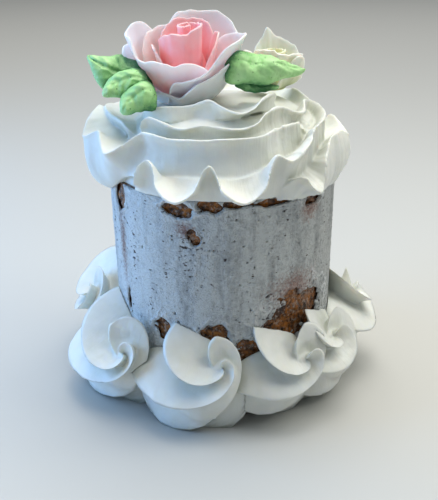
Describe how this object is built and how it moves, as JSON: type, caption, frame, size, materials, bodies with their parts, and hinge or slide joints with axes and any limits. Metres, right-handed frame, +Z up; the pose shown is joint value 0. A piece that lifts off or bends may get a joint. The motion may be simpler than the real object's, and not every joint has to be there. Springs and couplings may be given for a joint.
{
  "type": "mini cake",
  "caption": "Round mini cake with a thin scraped cream coat, a ruffled cream top, piped rosettes round the foot, and sugar roses with cream leaves on top.",
  "frame": {"origin": "centre of the cake's flat underside", "axes": "+Z up the cake's axis, -Y towards the front, +X to the right seen from the front"},
  "size_m": [0.1542, 0.1457, 0.1716],
  "materials": {
    "crumb": "open crumb",
    "thin_coat": "scraped thin",
    "cream": "soft satin",
    "pink_paste": "satin",
    "ivory_paste": "satin",
    "leaf_cream": "satin"
  },
  "bodies": {
    "root": {"sponge": "crumb", "cream_coat": "thin_coat", "top_ruffle": "cream", "rose_pink": "pink_paste", "rose_cream": "ivory_paste", "rosette_1": "cream", "rosette_2": "cream", "rosette_3": "cream", "rosette_4": "cream", "rosette_5": "cream", "rosette_6": "cream", "rosette_7": "cream", "rosette_8": "cream", "rosette_9": "cream", "leaf_left_tip": "leaf_cream", "leaf_left_fold": "leaf_cream", "leaf_left_low": "leaf_cream", "leaf_right": "leaf_cream", "leaf_right_low": "leaf_cream"}
  },
  "joints": []
}
